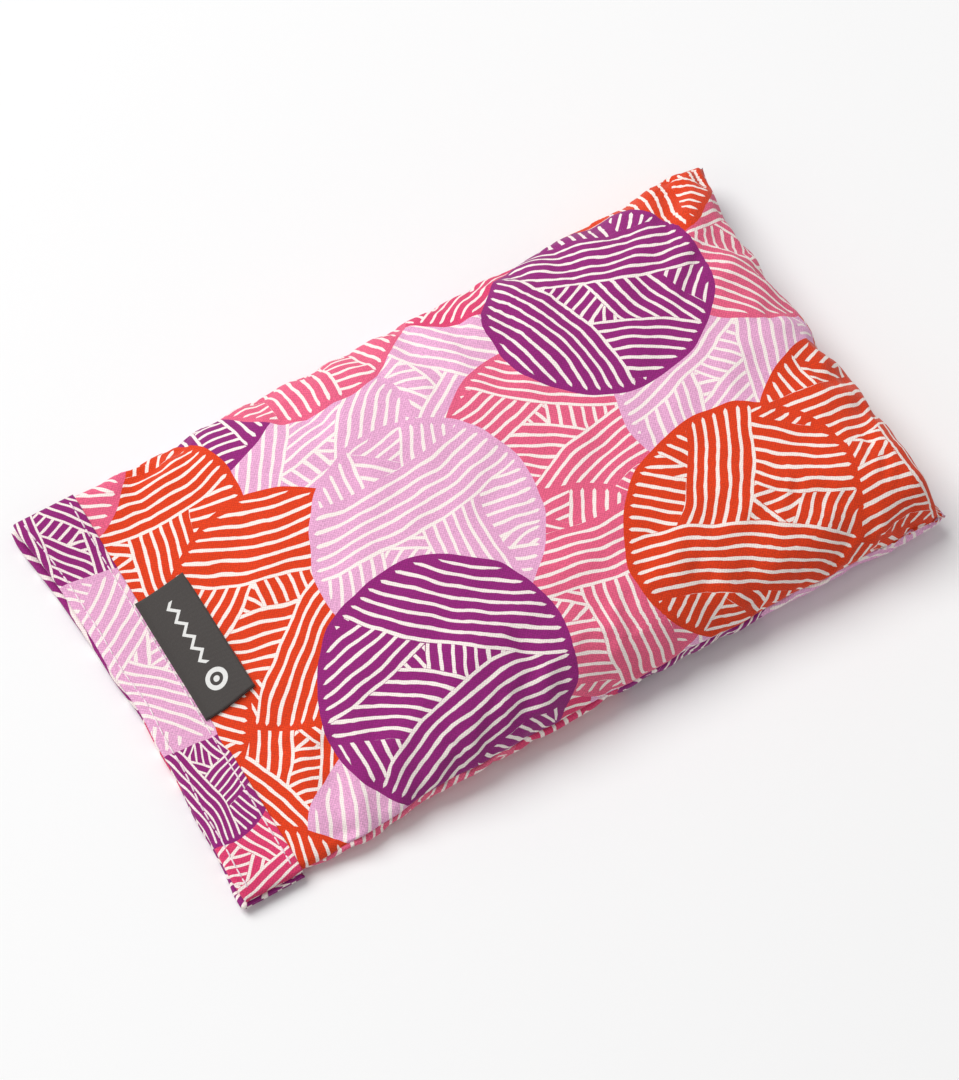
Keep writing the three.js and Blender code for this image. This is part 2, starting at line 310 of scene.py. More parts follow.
def folds(moved):
    """The folds in a grid of movements, with only a little of the even swelling, and none of them large."""
    even = moved
    for _ in range(SETTLE_SMOOTH):
        even = np.pad(even, ((1, 1), (1, 1), (0, 0)), mode="edge")
        even = (even[:-2] + 2 * even[1:-1] + even[2:]) / 4
        even = (even[:, :-2] + 2 * even[:, 1:-1] + even[:, 2:]) / 4
    kept = moved - (1 - SETTLE_SWELL) * even
    size = np.linalg.norm(kept, axis=-1, keepdims=True)
    kept = kept * np.minimum(1, SETTLE_CAP / np.maximum(size, 1e-9))
    rim = np.ones(moved.shape[:2])
    rim[0], rim[-1], rim[:, 0], rim[:, -1] = 0, 0, 0, 0
    return kept * rim[..., None]


def settle(upper, lower, open_start):
    """Both faces of a filled bag after the cloth has settled under the push of the filling."""
    rows, columns = upper.shape[:2]
    count = rows * columns
    points = np.concatenate([upper.reshape(-1, 3), lower.reshape(-1, 3)])
    index = np.arange(count).reshape(rows, columns)
    under = index + count
    joined = [(slice(None), 0), (slice(None), -1), (-1, slice(None))]
    for edge in joined if open_start else joined + [(0, slice(None))]:
        under[edge] = index[edge]
    faces = []
    for i in range(rows - 1):
        for j in range(columns - 1):
            faces.append((index[i, j], index[i + 1, j], index[i + 1, j + 1], index[i, j + 1]))
            faces.append((under[i, j], under[i, j + 1], under[i + 1, j + 1], under[i + 1, j]))
    mesh = bpy.data.meshes.new("settling")
    mesh.from_pydata((points * MM).tolist(), [], [tuple(map(int, f)) for f in faces])
    obj = bpy.data.objects.new("settling", mesh)
    bpy.context.scene.collection.objects.link(obj)
    held = set(index[:, 0]) | set(index[:, -1]) | set(index[-1]) | set(index[0]) | set(under[0])
    if open_start:
        held |= set(index[1]) | set(under[1])
    pins = obj.vertex_groups.new(name="held")
    pins.add([int(v) for v in held], 1.0, "REPLACE")
    cloth = obj.modifiers.new("cloth", "CLOTH")
    cloth.settings.quality = 6
    cloth.settings.mass = 0.2
    cloth.settings.tension_stiffness = 12
    cloth.settings.compression_stiffness = 12
    cloth.settings.bending_stiffness = 0.3
    cloth.settings.shrink_min = -0.02
    cloth.settings.vertex_group_mass = "held"
    cloth.settings.use_pressure = True
    cloth.settings.uniform_pressure_force = 3.0
    cloth.settings.effector_weights.gravity = 0
    cloth.collision_settings.use_collision = False
    cloth.point_cache.frame_end = SETTLE_FRAMES
    for moment in range(1, SETTLE_FRAMES + 1):
        bpy.context.scene.frame_set(moment)
    ready = obj.evaluated_get(bpy.context.evaluated_depsgraph_get())
    now = np.empty(len(points) * 3)
    ready.data.vertices.foreach_get("co", now)
    moved = now.reshape(-1, 3) / MM - points
    bpy.data.objects.remove(obj)
    bpy.data.meshes.remove(mesh)
    bpy.context.scene.frame_set(1)
    clear = ramp((upper[..., :1] - CUFF_X - 2) / 16) if open_start else 1.0
    return upper + folds(moved[index]) * clear, lower + folds(moved[under]) * clear


# ---------------------------------------------------------------- material nodes
def wire(tree, socket, value):
    """Joins a socket to another node's output, or sets it to a plain value."""
    if isinstance(value, bpy.types.NodeSocket):
        tree.links.new(value, socket)
    else:
        socket.default_value = value


def node(tree, kind, **settings):
    made = tree.nodes.new(kind)
    for key, value in settings.items():
        setattr(made, key, value)
    return made


def math_node(tree, operation, *values):
    made = node(tree, "ShaderNodeMath", operation=operation)
    for socket, value in zip(made.inputs, values):
        wire(tree, socket, value)
    return made.outputs[0]


def vector_node(tree, operation, *values):
    made = node(tree, "ShaderNodeVectorMath", operation=operation)
    for socket, value in zip(made.inputs, values):
        wire(tree, socket, value)
    return made.outputs["Value" if operation in ("LENGTH", "DISTANCE") else "Vector"]


MIX_SOCKETS = {"FLOAT": (2, 3, 0), "VECTOR": (4, 5, 1), "RGBA": (6, 7, 2)}


def mix_node(tree, kind, factor, a, b):
    made = node(tree, "ShaderNodeMix", data_type=kind)
    first, second, out = MIX_SOCKETS[kind]
    wire(tree, made.inputs[0], factor)
    wire(tree, made.inputs[first], a)
    wire(tree, made.inputs[second], b)
    return made.outputs[out]


def noise_node(tree, vector, scale, detail=2.0):
    """Noise as a value and as a colour."""
    made = node(tree, "ShaderNodeTexNoise", noise_dimensions="3D")
    wire(tree, made.inputs["Vector"], vector)
    made.inputs["Scale"].default_value = scale
    made.inputs["Detail"].default_value = detail
    return made.outputs["Fac"], made.outputs["Color"]


def srgb(red, green, blue):
    """A colour as a node takes it, from its screen values."""
    return [((v + 0.055) / 1.055) ** 2.4 if v > 0.04045 else v / 12.92 for v in (red, green, blue)] + [1.0]


# ---------------------------------------------------------------- the print
COLOURS = {
    "orange": srgb(0.875, 0.235, 0.06),
    "pink": srgb(0.91, 0.38, 0.52),
    "rose": srgb(0.87, 0.235, 0.43),
    "lilac": srgb(0.915, 0.67, 0.82),
    "purple": srgb(0.575, 0.12, 0.465),
}
LINE_COLOUR = srgb(0.99, 0.945, 0.92)
BALL = 30.0  # the radius that the ball templates are drawn at
PITCH = 2.85
LINE_HALF = 0.42
LINE_SOFT = 0.07
RIM = 1.3
GROUND = 2.0  # the mark of cloth that no ball covers, past the marks 0 and 1 of the templates

# A template is a ball of wound bundles: the centre of its underlying arcs, then bundles as the centre and
# radius of the middle line's circle and the number of stripes each side of it.
TEMPLATES = (
    ((-48, -34), ((66, 14, 60, 4), (-16, -84, 78, 3), (64, -66, 80, 3), (-70, 62, 76, 3), (10, 92, 74, 4))),
    ((40, 56), ((-78, -10, 72, 4), (26, -88, 72, 3), (84, 34, 74, 3), (-40, 80, 82, 3), (-86, -60, 96, 3))),
)


def bundles(tree, q, template):
    """The distance across the stripes, in the bundle that lies on top at q."""
    base, bands = template
    line = vector_node(tree, "DISTANCE", q, (base[0], base[1], 0))
    for x, y, radius, stripes in bands:
        distance = vector_node(tree, "DISTANCE", q, (x, y, 0))
        across = math_node(tree, "SUBTRACT", distance, radius)
        inside = math_node(tree, "LESS_THAN", math_node(tree, "ABSOLUTE", across), stripes * PITCH)
        line = mix_node(tree, "FLOAT", inside, line, across)
    return line


def print_colour(tree, flat, balls, grain):
    """The printed colour at a place on the flat cloth, in millimetres. The grain mottles the ink."""
    _, drift = noise_node(tree, flat, 0.07, 1.0)
    shift = vector_node(tree, "SUBTRACT", drift, (0.5, 0.5, 0.5))
    place = vector_node(tree, "MULTIPLY_ADD", shift, (3.0, 3.0, 0), flat)
    q, colour, which = place, COLOURS[balls[0][5]], GROUND
    for x, y, width, height, angle, ink, template in balls:
        mapping = node(tree, "ShaderNodeMapping", vector_type="TEXTURE")
        wire(tree, mapping.inputs["Vector"], place)
        mapping.inputs["Location"].default_value = (x, y, 0)
        mapping.inputs["Rotation"].default_value = (0, 0, math.radians(angle))
        mapping.inputs["Scale"].default_value = (width / BALL, height / BALL, 1)
        here = mapping.outputs[0]
        inside = math_node(tree, "LESS_THAN", vector_node(tree, "LENGTH", here), BALL)
        q = mix_node(tree, "VECTOR", inside, q, here)
        colour = mix_node(tree, "RGBA", inside, colour, COLOURS[ink])
        which = mix_node(tree, "FLOAT", inside, which, float(template))
    lines = [bundles(tree, q, template) for template in TEMPLATES]
    line = mix_node(tree, "FLOAT", which, lines[0], lines[1])
    ground = math_node(tree, "GREATER_THAN", which, GROUND - 0.5)
    wobble, _ = noise_node(tree, flat, 0.09, 1.0)
    line = math_node(tree, "MULTIPLY_ADD", wobble, 0.9, line)
    turn = math_node(tree, "FRACT", math_node(tree, "MULTIPLY_ADD", line, 1 / PITCH, 0.5))
    off_turn = math_node(tree, "ABSOLUTE", math_node(tree, "SUBTRACT", turn, 0.5))
    off_line = math_node(tree, "MULTIPLY", off_turn, PITCH)
    edge, _ = noise_node(tree, flat, 0.45, 1.0)
    to_rim = math_node(tree, "SUBTRACT", BALL - RIM, vector_node(tree, "LENGTH", q))
    to_rim = math_node(tree, "MULTIPLY_ADD", ground, 1000.0, to_rim)
    room = math_node(tree, "MINIMUM", math_node(tree, "MULTIPLY", to_rim, 0.6), LINE_HALF)
    half = math_node(tree, "MULTIPLY_ADD", math_node(tree, "SUBTRACT", edge, 0.5), 0.3, room)
    white = math_node(tree, "SUBTRACT", half, off_line)
    sharp = node(tree, "ShaderNodeMapRange", interpolation_type="SMOOTHSTEP")
    wire(tree, sharp.inputs["Value"], white)
    sharp.inputs["From Min"].default_value = -LINE_SOFT
    sharp.inputs["From Max"].default_value = LINE_SOFT
    paper = mix_node(tree, "RGBA", 0.04, LINE_COLOUR, colour)
    colour = shade(tree, colour, grain, 0.56, 1.41)
    return mix_node(tree, "RGBA", sharp.outputs["Result"], colour, paper)


def new_material(name, roughness, sheen=0.0, specular=0.3):
    """A material with its node tree and its shader."""
    material = bpy.data.materials.new(name)
    material.use_nodes = True
    tree = material.node_tree
    shader = tree.nodes["Principled BSDF"]
    shader.inputs["Roughness"].default_value = roughness
    shader.inputs["Sheen Weight"].default_value = sheen
    shader.inputs["Specular IOR Level"].default_value = specular
    return material, tree, shader


def flat_vector(tree):
    """The place on the cloth laid flat, in millimetres."""
    return node(tree, "ShaderNodeUVMap", uv_map="cloth").outputs[0]


def object_vector(tree):
    return node(tree, "ShaderNodeTexCoord").outputs["Object"]


def as_share(tree, wave):
    """A wave from -1 to 1 as a value from 0 to 1."""
    return math_node(tree, "MULTIPLY_ADD", wave, 0.5, 0.5)


def ranged(tree, amount, low, high):
    """A value that runs from low to high as amount does from 0 to 1."""
    scale = node(tree, "ShaderNodeMapRange")
    wire(tree, scale.inputs["Value"], amount)
    scale.inputs["To Min"].default_value = low
    scale.inputs["To Max"].default_value = high
    return scale.outputs["Result"]


def shade(tree, colour, amount, low, high):
    """Colour times a value that runs from low to high as amount does from 0 to 1."""
    return vector_node(tree, "MULTIPLY", colour, ranged(tree, amount, low, high))


def weave_height(tree, flat, pitch):
    """Over and under of a plain weave, from -1 to 1, with uneven threads."""
    _, uneven = noise_node(tree, flat, 0.9, 2.0)
    placed = vector_node(tree, "MULTIPLY_ADD", uneven, (0.12, 0.12, 0), flat)
    parts = node(tree, "ShaderNodeSeparateXYZ")
    wire(tree, parts.inputs[0], placed)
    rate = math.pi / pitch
    warp = math_node(tree, "SINE", math_node(tree, "MULTIPLY", parts.outputs[0], rate))
    weft = math_node(tree, "SINE", math_node(tree, "MULTIPLY", parts.outputs[1], rate))
    return math_node(tree, "MULTIPLY", warp, weft)


THREAD_RELIEF = 0.00008  # metres
WEAVE_PITCH = 0.4


def add_bump(tree, shader, height, strength, distance):
    made = node(tree, "ShaderNodeBump")
    made.inputs["Strength"].default_value = strength
    made.inputs["Distance"].default_value = distance
    wire(tree, made.inputs["Height"], height)
    tree.links.new(made.outputs["Normal"], shader.inputs["Normal"])


def printed_cotton(name, balls):
    """Plain-woven cotton with the balls printed on it."""
    material, tree, shader = new_material(name, 0.88, sheen=0.12)
    flat = flat_vector(tree)
    weave = weave_height(tree, flat, WEAVE_PITCH)
    grain, _ = noise_node(tree, flat, 2.0, 2.0)
    colour = print_colour(tree, flat, balls, grain)
    # painted shade: the colour is darker where the weave's threads dip under and lighter on their tops
    colour = shade(tree, colour, as_share(tree, weave), 0.84, 1.12)
    tree.links.new(colour, shader.inputs["Base Color"])
    tree.links.new(ranged(tree, grain, 0.8, 0.95), shader.inputs["Roughness"])
    add_bump(tree, shader, weave, 0.35, THREAD_RELIEF)
    return material


BALL_APART = (43.0, 35.0)  # along the pillow and across it
BALL_HALF = (27.5, 32.5)  # the least and the most of a ball's half width and half height
BALL_JITTER = 4.5
BALL_STAGGER = 0.25  # of the distance along, one way in even rows and the other in odd ones

# Inks in rows from the near side to the far side, each from the mouth to the closed end
FRONT_INKS = (
    ("orange", "lilac", "rose", "lilac", "orange"),
    ("orange", "purple", "pink", "orange", "orange"),
    ("orange", "orange", "lilac", "pink", "lilac"),
    ("orange", "lilac", "lilac", "purple", "pink"),
    ("pink", "purple", "pink", "rose", "orange"),
)
BACK_INKS = (
    ("orange", "pink", "rose", "purple", "lilac"),
    ("pink", "purple", "orange", "lilac", "orange"),
    ("lilac", "orange", "purple", "pink", "rose"),
    ("purple", "pink", "lilac", "orange", "purple"),
    ("orange", "lilac", "pink", "purple", "orange"),
)


def staggered(inks, seed):
    """Overlapping balls in staggered rows, shuffled, from the bottom layer up."""
    random = np.random.default_rng(seed)
    balls = []
    for row, names in enumerate(inks):
        for column, ink in enumerate(names):
            stagger = BALL_STAGGER if row % 2 else -BALL_STAGGER
            x = (column - (len(names) - 1) / 2 + stagger) * BALL_APART[0]
            y = (row - (len(inks) - 1) / 2) * BALL_APART[1]
            x, y = np.array([x, y]) + random.uniform(-BALL_JITTER, BALL_JITTER, 2)
            width, height = random.uniform(*BALL_HALF, 2)
            turn, template = random.uniform(0, 360), int(random.integers(2))
            balls.append((float(x), float(y), width, height, turn, ink, template))
    return [balls[k] for k in random.permutation(len(balls))]


# Balls from the bottom layer up: place on the flat cloth, half width, half height, turn, ink, template
FRONT_CUFF_BALLS = (
    (0, 0, 90, 70, 0, "lilac", 0),
    (6, -52, 26, 22, 40, "rose", 1),
    (10, 48, 24, 22, 60, "purple", 0),
    (8, -26, 20, 16, 130, "purple", 1),
    (10, 10, 34, 26, 200, "lilac", 1),
)
BACK_CUFF_BALLS = (
    (0, 0, 90, 70, 0, "rose", 0),
    (6, -50, 30, 26, 15, "purple", 1),
    (10, 40, 44, 36, 80, "purple", 0),
)


TWIST_SCALE = 900.0  # per metre


def thread_material():
    material, tree, shader = new_material("pale_thread", 0.5, sheen=0.3, specular=0.4)
    spot = object_vector(tree)
    twist = node(tree, "ShaderNodeTexWave", wave_type="BANDS", bands_direction="DIAGONAL")
    wire(tree, twist.inputs["Vector"], spot)
    twist.inputs["Scale"].default_value = TWIST_SCALE
    tone, _ = noise_node(tree, spot, TWIST_SCALE)
    colour = mix_node(tree, "RGBA", tone, srgb(0.99, 0.93, 0.95), srgb(0.96, 0.84, 0.90))
    tree.links.new(colour, shader.inputs["Base Color"])
    add_bump(tree, shader, twist.outputs["Fac"], 0.5, THREAD_RELIEF)
    return material


# On the label, across from the cuff and along it from the middle
RING_PLACE = (6.6, -10.5, 0)
RING_RADIUS, RING_HALF, DOT_RADIUS = 2.3, 0.6, 0.8
ZIGZAG_ACROSS, ZIGZAG_DEPTH, ZIGZAG_HALF = 5.4, 2.0, 0.55
ZIGZAG_ALONG = (-5.5, 13.5)
TWILL_PITCH, RIB_PITCH = 0.42, 0.2


def label_material():
    """Dense charcoal tape with a fine twill, and a plain woven ring and zigzag in white."""
    material, tree, shader = new_material("label_tape", 0.62, sheen=0.2, specular=0.35)
    flat = flat_vector(tree)
    parts = node(tree, "ShaderNodeSeparateXYZ")
    wire(tree, parts.inputs[0], flat)
    across, along = parts.outputs[0], parts.outputs[1]
    diagonal = math_node(tree, "ADD", across, along)
    twill = math_node(tree, "SINE", math_node(tree, "MULTIPLY", diagonal, 2 * math.pi / TWILL_PITCH))
    rib = math_node(tree, "SINE", math_node(tree, "MULTIPLY", along, 2 * math.pi / RIB_PITCH))
    from_centre = vector_node(tree, "DISTANCE", flat, RING_PLACE)
    off_ring = math_node(tree, "ABSOLUTE", math_node(tree, "SUBTRACT", from_centre, RING_RADIUS))
    ring = math_node(tree, "LESS_THAN", off_ring, RING_HALF)
    dot = math_node(tree, "LESS_THAN", from_centre, DOT_RADIUS)
    zig = math_node(tree, "PINGPONG", along, ZIGZAG_DEPTH)
    off_zig = math_node(tree, "SUBTRACT", math_node(tree, "SUBTRACT", across, ZIGZAG_ACROSS), zig)
    zigzag = math_node(tree, "LESS_THAN", math_node(tree, "ABSOLUTE", off_zig), ZIGZAG_HALF)
    past_start = math_node(tree, "GREATER_THAN", along, ZIGZAG_ALONG[0])
    before_end = math_node(tree, "LESS_THAN", along, ZIGZAG_ALONG[1])
    zigzag = math_node(tree, "MULTIPLY", zigzag, math_node(tree, "MULTIPLY", past_start, before_end))
    white = math_node(tree, "MAXIMUM", math_node(tree, "MAXIMUM", ring, dot), zigzag)
    tone, _ = noise_node(tree, flat, 3.0)
    dark = shade(tree, srgb(0.245, 0.225, 0.215)[:3], tone, 0.8, 1.2)
    # painted highlight and shade: lighter on the twill's ridges and darker in its grooves
    dark = shade(tree, dark, as_share(tree, twill), 0.82, 1.15)
    colour = mix_node(tree, "RGBA", white, dark, srgb(0.9, 0.9, 0.89))
    tree.links.new(colour, shader.inputs["Base Color"])
    ribs = math_node(tree, "MULTIPLY", rib, 0.4)
    threads = math_node(tree, "ADD", math_node(tree, "MULTIPLY", twill, 0.6), ribs)
    add_bump(tree, shader, math_node(tree, "ADD", threads, white), 0.4, THREAD_RELIEF)
    return material


MUSLIN_PITCH = 0.5
MUSLIN_RELIEF = 0.0001  # metres


def muslin_material():
    """Plain cotton over seed: its weave, with the seed showing through as small rounds."""
    material, tree, shader = new_material("plain_muslin", 0.92, sheen=0.15)
    flat = flat_vector(tree)
    weave = weave_height(tree, flat, MUSLIN_PITCH)
    slub, _ = noise_node(tree, flat, 0.6, 3.0)
    colour = mix_node(tree, "RGBA", slub, srgb(0.93, 0.90, 0.82), srgb(0.86, 0.82, 0.72))
    # painted shade: darker where the weave's threads dip under and lighter on their tops
    colour = shade(tree, colour, as_share(tree, weave), 0.88, 1.04)
    tree.links.new(colour, shader.inputs["Base Color"])
    seeds = node(tree, "ShaderNodeTexVoronoi", feature="F1")
    wire(tree, seeds.inputs["Vector"], flat)
    seeds.inputs["Scale"].default_value = 0.33
    threads = math_node(tree, "MULTIPLY", weave, 0.3)
    rounds = math_node(tree, "MULTIPLY", seeds.outputs["Distance"], 2.0)
    add_bump(tree, shader, math_node(tree, "SUBTRACT", threads, rounds), 0.5, MUSLIN_RELIEF)
    return material


SEED_SCALE = 300.0  # per metre
SEED_RELIEF = 0.001  # metres


def seed_material():
    """A face of small shiny brown seeds."""
    material, tree, shader = new_material("flax_seed", 0.35, specular=0.5)
    spot = object_vector(tree)
    seeds = node(tree, "ShaderNodeTexVoronoi", feature="F1")
    wire(tree, seeds.inputs["Vector"], spot)
    seeds.inputs["Scale"].default_value = SEED_SCALE
    # painted shade: each seed is lighter at its middle and darker towards its edges, where the seeds meet
    colour = mix_node(tree, "RGBA", seeds.outputs["Distance"], srgb(0.52, 0.32, 0.16), srgb(0.26, 0.14, 0.06))
    tree.links.new(colour, shader.inputs["Base Color"])
    add_bump(tree, shader, seeds.outputs["Distance"], -0.8, SEED_RELIEF)
    return material


FRONT_COTTON = printed_cotton("front_cotton", staggered(FRONT_INKS, 16))
BACK_COTTON = printed_cotton("back_cotton", staggered(BACK_INKS, 9))
FRONT_CUFF_COTTON = printed_cotton("front_cuff_cotton", FRONT_CUFF_BALLS)
BACK_CUFF_COTTON = printed_cotton("back_cuff_cotton", BACK_CUFF_BALLS)
THREAD = thread_material()
LABEL_TAPE = label_material()
MUSLIN = muslin_material()
FLAX = seed_material()


# ---------------------------------------------------------------- panels
ROWS, COLUMNS = 85, 65  # of the face that the cloth simulation settles
FINE_ROWS, FINE_COLUMNS = 2 * ROWS - 1, 2 * COLUMNS - 1


def in_frame(piece, body, slot, *nodes):
    """The piece rides a body and takes the place of its CAD nodes, which are hidden. The slot, which names
    its finish, is not used.
    """
    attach(piece, body)
    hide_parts(*nodes)
    return piece


def wrinkled(grid, side, edge, open_share):
    """The grid with puckers beside the seams, soft lumps of seed, and a crease by the cuff's near corner."""
    x, y, z = grid[..., 0], grid[..., 1], grid[..., 2]
    n = normals_of(grid) * (1 if side > 0 else -1)
    pucker = 0.3 * waves(x, y, 8.5, 11) * bump((edge - 3.5) / 4)
    lumps = 0.22 * waves(x, y, 17, 5) + 0.12 * waves(x, y, 9, 6)
    amount = pucker + lumps * np.clip(edge / 8, 0, 1)
    if side > 0:
        run = (x - CUFF_X) * 0.88 - (y + HALF_WIDTH) * 0.47
        off = (x - CUFF_X) * 0.47 + (y + HALF_WIDTH) * 0.88 - 4
        amount = amount - 0.8 * bump((off - 3.5) / 1.8) * bump((run - 7) / 7)
    moved = grid + n * (amount * open_share * ramp(edge / 2))[..., None]
    moved[..., 2] = np.maximum(moved[..., 2], 0.02)
    return moved


def panel(side, name, coarse, material):
    """The front (side 1) or back (side -1) panel, from its settled face."""
    _, edge, open_share = cover_points(side, FINE_ROWS, FINE_COLUMNS)
    grid = double(double(coarse, 0), 1)
    uv = flat_coordinates(grid)
    grid = wrinkled(grid, side, edge, open_share)
    if side < 0:
        grid, uv = grid[:, ::-1], uv[:, ::-1]
    piece = cloth_shell(name + "_cloth", grid, CLOTH, uv, material)
    return in_frame(piece, "cover", "printed_cotton", name)


upper, lower = settle(cover_points(1, ROWS, COLUMNS)[0], cover_points(-1, ROWS, COLUMNS)[0], True)
front = panel(1, "front_panel", upper, FRONT_COTTON)
back = panel(-1, "back_panel", lower, BACK_COTTON)


# ---------------------------------------------------------------- cuffs
SLOT = 0.75  # from the middle of a cuff's layer to its own middle
END_SLOT = 0.62  # the same where the side seam presses the layers together
CLOSED_SLOT = 0.24  # and at the near end, where they meet
MOUTH_PULL = 2.0


def cuff_edge(y):
    """How far a cuff's layers are pressed together, towards its ends."""
    return ramp((np.abs(y) - (HALF_WIDTH - 4)) / 4)


def mouth_line(y, side):
    """The x of a cuff's folded edge: pulled in along its middle, with the back one out past the front one
    towards both corners."""
    pull = MOUTH_PULL * bump((y + 6) / 24) + 1.2 * bump((y - 30) / 16) - 1.0 * bump((y - 56) / 7)
    back_in = 0.0 if side > 0 else 0.1
    lip = 0.0 if side > 0 else -1.4 * (bump((y - 42) / 24) + bump((y + 58) / 6))
    return MOUTH_X + 0.2 + pull + back_in + lip + 0.15 * waves(y, 0 * y, 16, 3)


def cuff_heights(x, y, side):
    """The middle of the cuff and half the distance between its two layers."""
    pressed = cuff_edge(y)
    to_mouth = np.clip((CUFF_X - x) / (CUFF_X - MOUTH_X), 0, 1)
    closed = rounding(1 - np.clip((HALF_WIDTH + CUFF_PAST_SEAM[side] - np.abs(y)) / 1.3, 0, 1), 2)
    slot = CLOSED_SLOT + (mix(SLOT, END_SLOT, pressed) - CLOSED_SLOT) * np.where(y < 0, closed, 1)
    middle = CUFF_TOP_Z - CUFF_THICK / 2 - CUFF_MIDDLE_Z
    middle = mix(middle, slot + CLOTH / 2 + 0.05, pressed)
    gape = 0.9 * (bump((y + 47) / 7) + 0.7 * bump((y - 48) / 8)) * to_mouth ** 2
    sway = 0.15 * waves(x, y, 26, 8) * (1 - pressed)
    lift = gape + far_lift(y) if side > 0 else 0
    return CUFF_MIDDLE_Z + side * middle + lift + sway, slot


def cuff(side, name, material):
    """A band of cloth folded over the mouth: its outer layer, its fold and its inner layer, as one sheet."""
    columns, outer_rows, fold_rows, inner_rows = 150, 46, 9, 34
    y = np.linspace(-HALF_WIDTH - CUFF_PAST_SEAM[side], HALF_WIDTH, columns)[None, :]
    mouth = mouth_line(y, side)
    x_out = mix(CUFF_X, mouth + SLOT, np.linspace(0, 1, outer_rows)[:, None])
    middle, slot = cuff_heights(x_out, y, side)
    outer = np.stack([x_out, np.broadcast_to(y, x_out.shape), middle + side * slot], -1)
    turn = np.linspace(0, math.pi, fold_rows + 2)[1:-1, None]
    middle, slot = cuff_heights(mouth + SLOT, y, side)
    x_fold = mouth + SLOT - slot * np.sin(turn)
    folded = np.stack([x_fold, np.broadcast_to(y, x_fold.shape), middle + side * slot * np.cos(turn)], -1)
    x_in = mix(mouth + SLOT, CUFF_X - 0.5, np.linspace(0, 1, inner_rows)[:, None])
    middle, slot = cuff_heights(x_in, y, side)
    inner = np.stack([x_in, np.broadcast_to(y, x_in.shape), middle - side * slot], -1)
    grid = np.concatenate([outer, folded, inner])
    uv = flat_coordinates(grid)
    uv[..., 0] -= uv[0, 0, 0]
    if side > 0:
        grid, uv = grid[:, ::-1], uv[:, ::-1]
    grid = grid + normals_of(grid) * CLOTH / 2
    piece = cloth_shell(name + "_cloth", grid, CLOTH, uv, material)
    return in_frame(piece, "cover", "cuff_cotton", name)


front_cuff = cuff(1, "front_cuff", FRONT_CUFF_COTTON)
back_cuff = cuff(-1, "back_cuff", BACK_CUFF_COTTON)


# ---------------------------------------------------------------- stitches
STITCH = 2.8
THREAD_RADIUS = 0.21
MOUTH_ROW = 2.2  # from the mouth edge
CUFF_ROW = 1.8  # from the cuff's inner edge


def stitch_row(name, place, length, body, nodes):
    """Separate stitches along a line: place(t) gives a point and the way off the cloth, t in millimetres."""
    rings, sides = 9, 6
    points, faces = [], []
    count = int(length / STITCH)
    for k in range(count):
        start = -length / 2 + (k + 0.5) * length / count
        first = len(points)
        for i in range(rings):
            share = i / (rings - 1)
            at, off, along, cross = place(start + (share - 0.5) * STITCH * 0.95)
            radius = THREAD_RADIUS * math.sqrt(max(0.02, 1 - (2 * share - 1) ** 6))
            middle = at + off * (THREAD_RADIUS * 1.25 * math.sin(math.pi * share) - 0.08)
            for j in range(sides):
                turn = 2 * math.pi * j / sides
                points.append(middle + radius * (math.cos(turn) * cross + math.sin(turn) * off))
        for i in range(rings - 1):
            for j in range(sides):
                a, b = first + i * sides + j, first + i * sides + (j + 1) % sides
                faces.append((a, b, b + sides, a + sides))
        faces.append(tuple(first + j for j in reversed(range(sides))))
        faces.append(tuple(first + (rings - 1) * sides + j for j in range(sides)))
    piece = make_object(name + "_thread", points, faces, None, THREAD)
    return in_frame(piece, body, "pale_thread", *nodes)


def cuff_row(name, side, at_mouth):
    """Topstitching along a cuff, by its mouth edge or by its inner edge."""
    def place(t):
        y = np.array(t)
        x = mouth_line(y, side) + MOUTH_ROW if at_mouth else np.array(CUFF_X - CUFF_ROW)
        middle, slot = cuff_heights(x, y, side)
        at = np.array([float(x), t, float(middle + side * (slot + CLOTH / 2))])
        return at, np.array([0, 0, side]), np.array([0, 1, 0]), np.array([1, 0, 0])

    return stitch_row(name, place, 2 * HALF_WIDTH - 3, "cover", [name])


front_rows = [cuff_row("front_mouth_stitches", 1, True), cuff_row("front_cuff_stitches", 1, False)]
back_rows = [cuff_row("back_mouth_stitches", -1, True), cuff_row("back_cuff_stitches", -1, False)]


# ---------------------------------------------------------------- label
TAPE = 0.38
TAPE_GAP = 0.3  # inside the fold
LABEL_SHOWN = 12.7  # from the cuff's inner edge to the fold
LABEL_TUCKED = 1.2  # under the cuff


